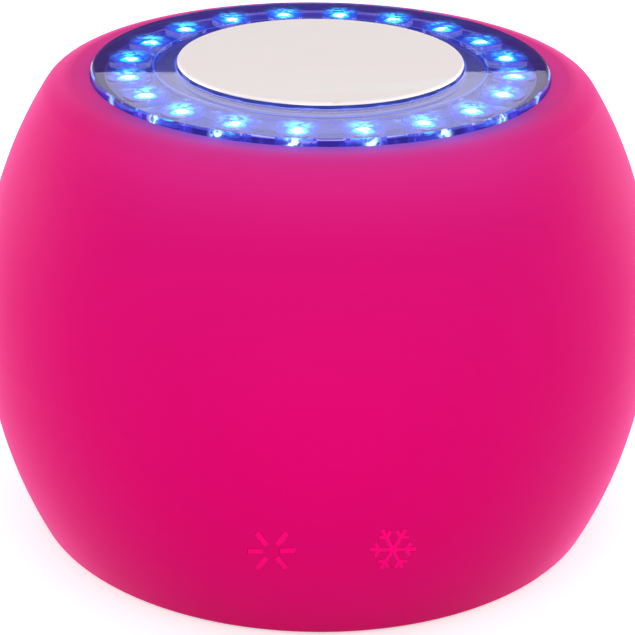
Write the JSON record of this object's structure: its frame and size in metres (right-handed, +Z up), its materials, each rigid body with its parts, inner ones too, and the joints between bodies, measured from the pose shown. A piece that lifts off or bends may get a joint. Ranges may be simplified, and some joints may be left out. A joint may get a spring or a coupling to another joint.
{
  "type": "facial massager",
  "caption": "Barrel-shaped hot and cold facial massager with a metal contact plate in a lit clear ring, and two small icon keys low on its front.",
  "frame": {"origin": "centre of the flat base, on the surface that it stands on", "axes": "+Z up through the contact plate; the keys are on the front, which faces -Y; +X is to the right seen from the front"},
  "size_m": [0.06, 0.06, 0.0418],
  "materials": {
    "shell_pink": "soft-touch, even, very slightly sheened",
    "cover_pink": "fine moulded grain",
    "key_pink": "translucent, lit from behind",
    "foot_rubber": "matt",
    "clear_ring": "polished clear moulding",
    "plate_metal": "satin, fine bead blasted, bright chamfered rim",
    "seal_silicone": "translucent silicone",
    "led_board": "dark solder mask",
    "led_body": "clear tinted package",
    "led_glow": "clear filled cup, lit blue",
    "board_green": "solder mask",
    "black_plastic": "moulded",
    "frame_white": "moulded",
    "bare_metal": "plated",
    "sink_metal": "extruded, bare",
    "ceramic": "white alumina",
    "pad_grey": "soft silicone pad",
    "pellet_dark": "dull semiconductor",
    "bronze": "sintered bronze",
    "copper_coil": "enamelled winding",
    "weight_metal": "sintered tungsten",
    "battery_foil": "foil pouch",
    "tape": "foam tape",
    "nylon": "natural nylon",
    "wire_skin": "soft insulation"
  },
  "bodies": {
    "casing": {"outer_shell": "shell_pink", "base_cover": "cover_pink", "foot_ring": "foot_rubber", "base_screws": "bare_metal", "light_window": "clear_ring", "led_board": "led_board", "led_packages": "led_body", "led_lenses": "led_glow", "contact_plate": "plate_metal", "plate_seal": "seal_silicone", "temperature_sensor": "black_plastic", "thermal_pads": "pad_grey", "peltier_top_plate": "ceramic", "peltier_pellets": "pellet_dark", "peltier_bottom_plate": "ceramic", "heat_sink": "sink_metal", "sink_screws": "bare_metal", "inner_frame": "frame_white", "frame_screws": "bare_metal", "fan_frame": "black_plastic", "fan_bearing": "bronze", "fan_stator": "copper_coil", "fan_screws": "bare_metal", "heat_switch": "bare_metal", "cold_switch": "bare_metal", "key_board": "board_green", "indicator_leds": "led_body", "key_board_screws": "bare_metal", "battery_cell": "battery_foil", "battery_board": "board_green", "battery_tape": "tape", "motor_holder": "foot_rubber", "motor_can": "bare_metal", "motor_cap": "nylon", "main_board": "board_green", "board_parts": "black_plastic", "board_screws": "bare_metal", "charge_jack": "black_plastic", "battery_wires": "wire_skin", "peltier_wires": "wire_skin", "led_wires": "wire_skin", "fan_wires": "wire_skin", "motor_wires": "wire_skin", "key_wires": "wire_skin"},
    "heat_key_body": {"heat_key": "key_pink", "heat_plunger": "black_plastic"},
    "cold_key_body": {"cold_key": "key_pink", "cold_plunger": "black_plastic"},
    "fan_rotor_body": {"fan_rotor": "black_plastic", "fan_shaft": "bare_metal"},
    "motor_rotor_body": {"motor_shaft": "bare_metal", "eccentric_weight": "weight_metal"}
  },
  "joints": [
    {"name": "heat_key_travel", "type": "slide", "parent": "casing", "child": "heat_key_body", "axis": [0, 1, 0], "range_m": [0, 0.00035], "stiffness_N_per_m": 2000, "springref_m": -0.0003},
    {"name": "cold_key_travel", "type": "slide", "parent": "casing", "child": "cold_key_body", "axis": [0, 1, 0], "range_m": [0, 0.00035], "stiffness_N_per_m": 2000, "springref_m": -0.0003},
    {"name": "fan_spin", "type": "hinge", "parent": "casing", "child": "fan_rotor_body", "pos_m": [0, 0, 0.0183], "axis": [0, 0, 1], "continuous": true},
    {"name": "motor_spin", "type": "hinge", "parent": "casing", "child": "motor_rotor_body", "pos_m": [-0.01933, 0, 0.0157], "axis": [0, 0, 1], "continuous": true}
  ]
}
